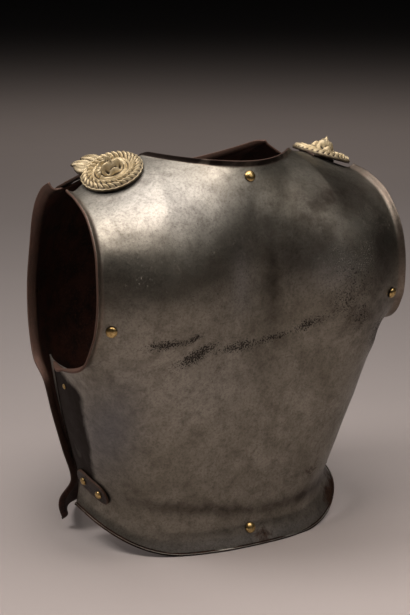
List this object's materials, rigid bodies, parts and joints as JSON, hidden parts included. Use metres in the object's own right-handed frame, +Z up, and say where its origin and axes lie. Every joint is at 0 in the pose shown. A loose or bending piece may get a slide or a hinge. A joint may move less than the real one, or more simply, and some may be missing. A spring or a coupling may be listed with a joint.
{
  "type": "cuirass",
  "caption": "Cavalry cuirass of forged steel: back plate and breast plate with flared waist rims and rolled edges, joined over the shoulders by leather straps under cast brass lion bosses",
  "frame": {"origin": "middle of the footprint, on the surface that the waist rims stand on", "axes": "+Z up to the neck, +Y out of the back plate, -Y out of the breast plate, +X towards the wearer's left"},
  "size_m": [0.383, 0.3284, 0.434],
  "materials": {
    "steel": "forged steel with a brown-grey patina, fine pitting and rust in the rims",
    "leather": "old dark brown leather",
    "cast_brass": "cast brass, pale and dull with dark dirt in the hollows",
    "brass_rivets": "worn brass with dark edges"
  },
  "bodies": {
    "root": {"back_plate": "steel", "breast_plate": "steel", "left_side_strip": "steel", "right_side_strip": "steel", "left_belt_tab": "leather", "right_belt_tab": "leather", "left_shoulder_strap": "leather", "right_shoulder_strap": "leather", "left_lion_boss": "cast_brass", "right_lion_boss": "cast_brass", "back_neck_rivet": "brass_rivets", "back_waist_rivet": "brass_rivets", "breast_neck_rivet": "brass_rivets", "breast_waist_rivet": "brass_rivets", "left_back_armhole_rivet": "brass_rivets", "right_back_armhole_rivet": "brass_rivets", "left_breast_armhole_rivet": "brass_rivets", "right_breast_armhole_rivet": "brass_rivets", "left_belt_rivet_1": "brass_rivets", "left_belt_rivet_2": "brass_rivets", "right_belt_rivet_1": "brass_rivets", "right_belt_rivet_2": "brass_rivets", "left_strip_rivet": "brass_rivets", "right_strip_rivet": "brass_rivets", "left_strap_rivet": "brass_rivets", "right_strap_rivet": "brass_rivets"}
  },
  "joints": []
}
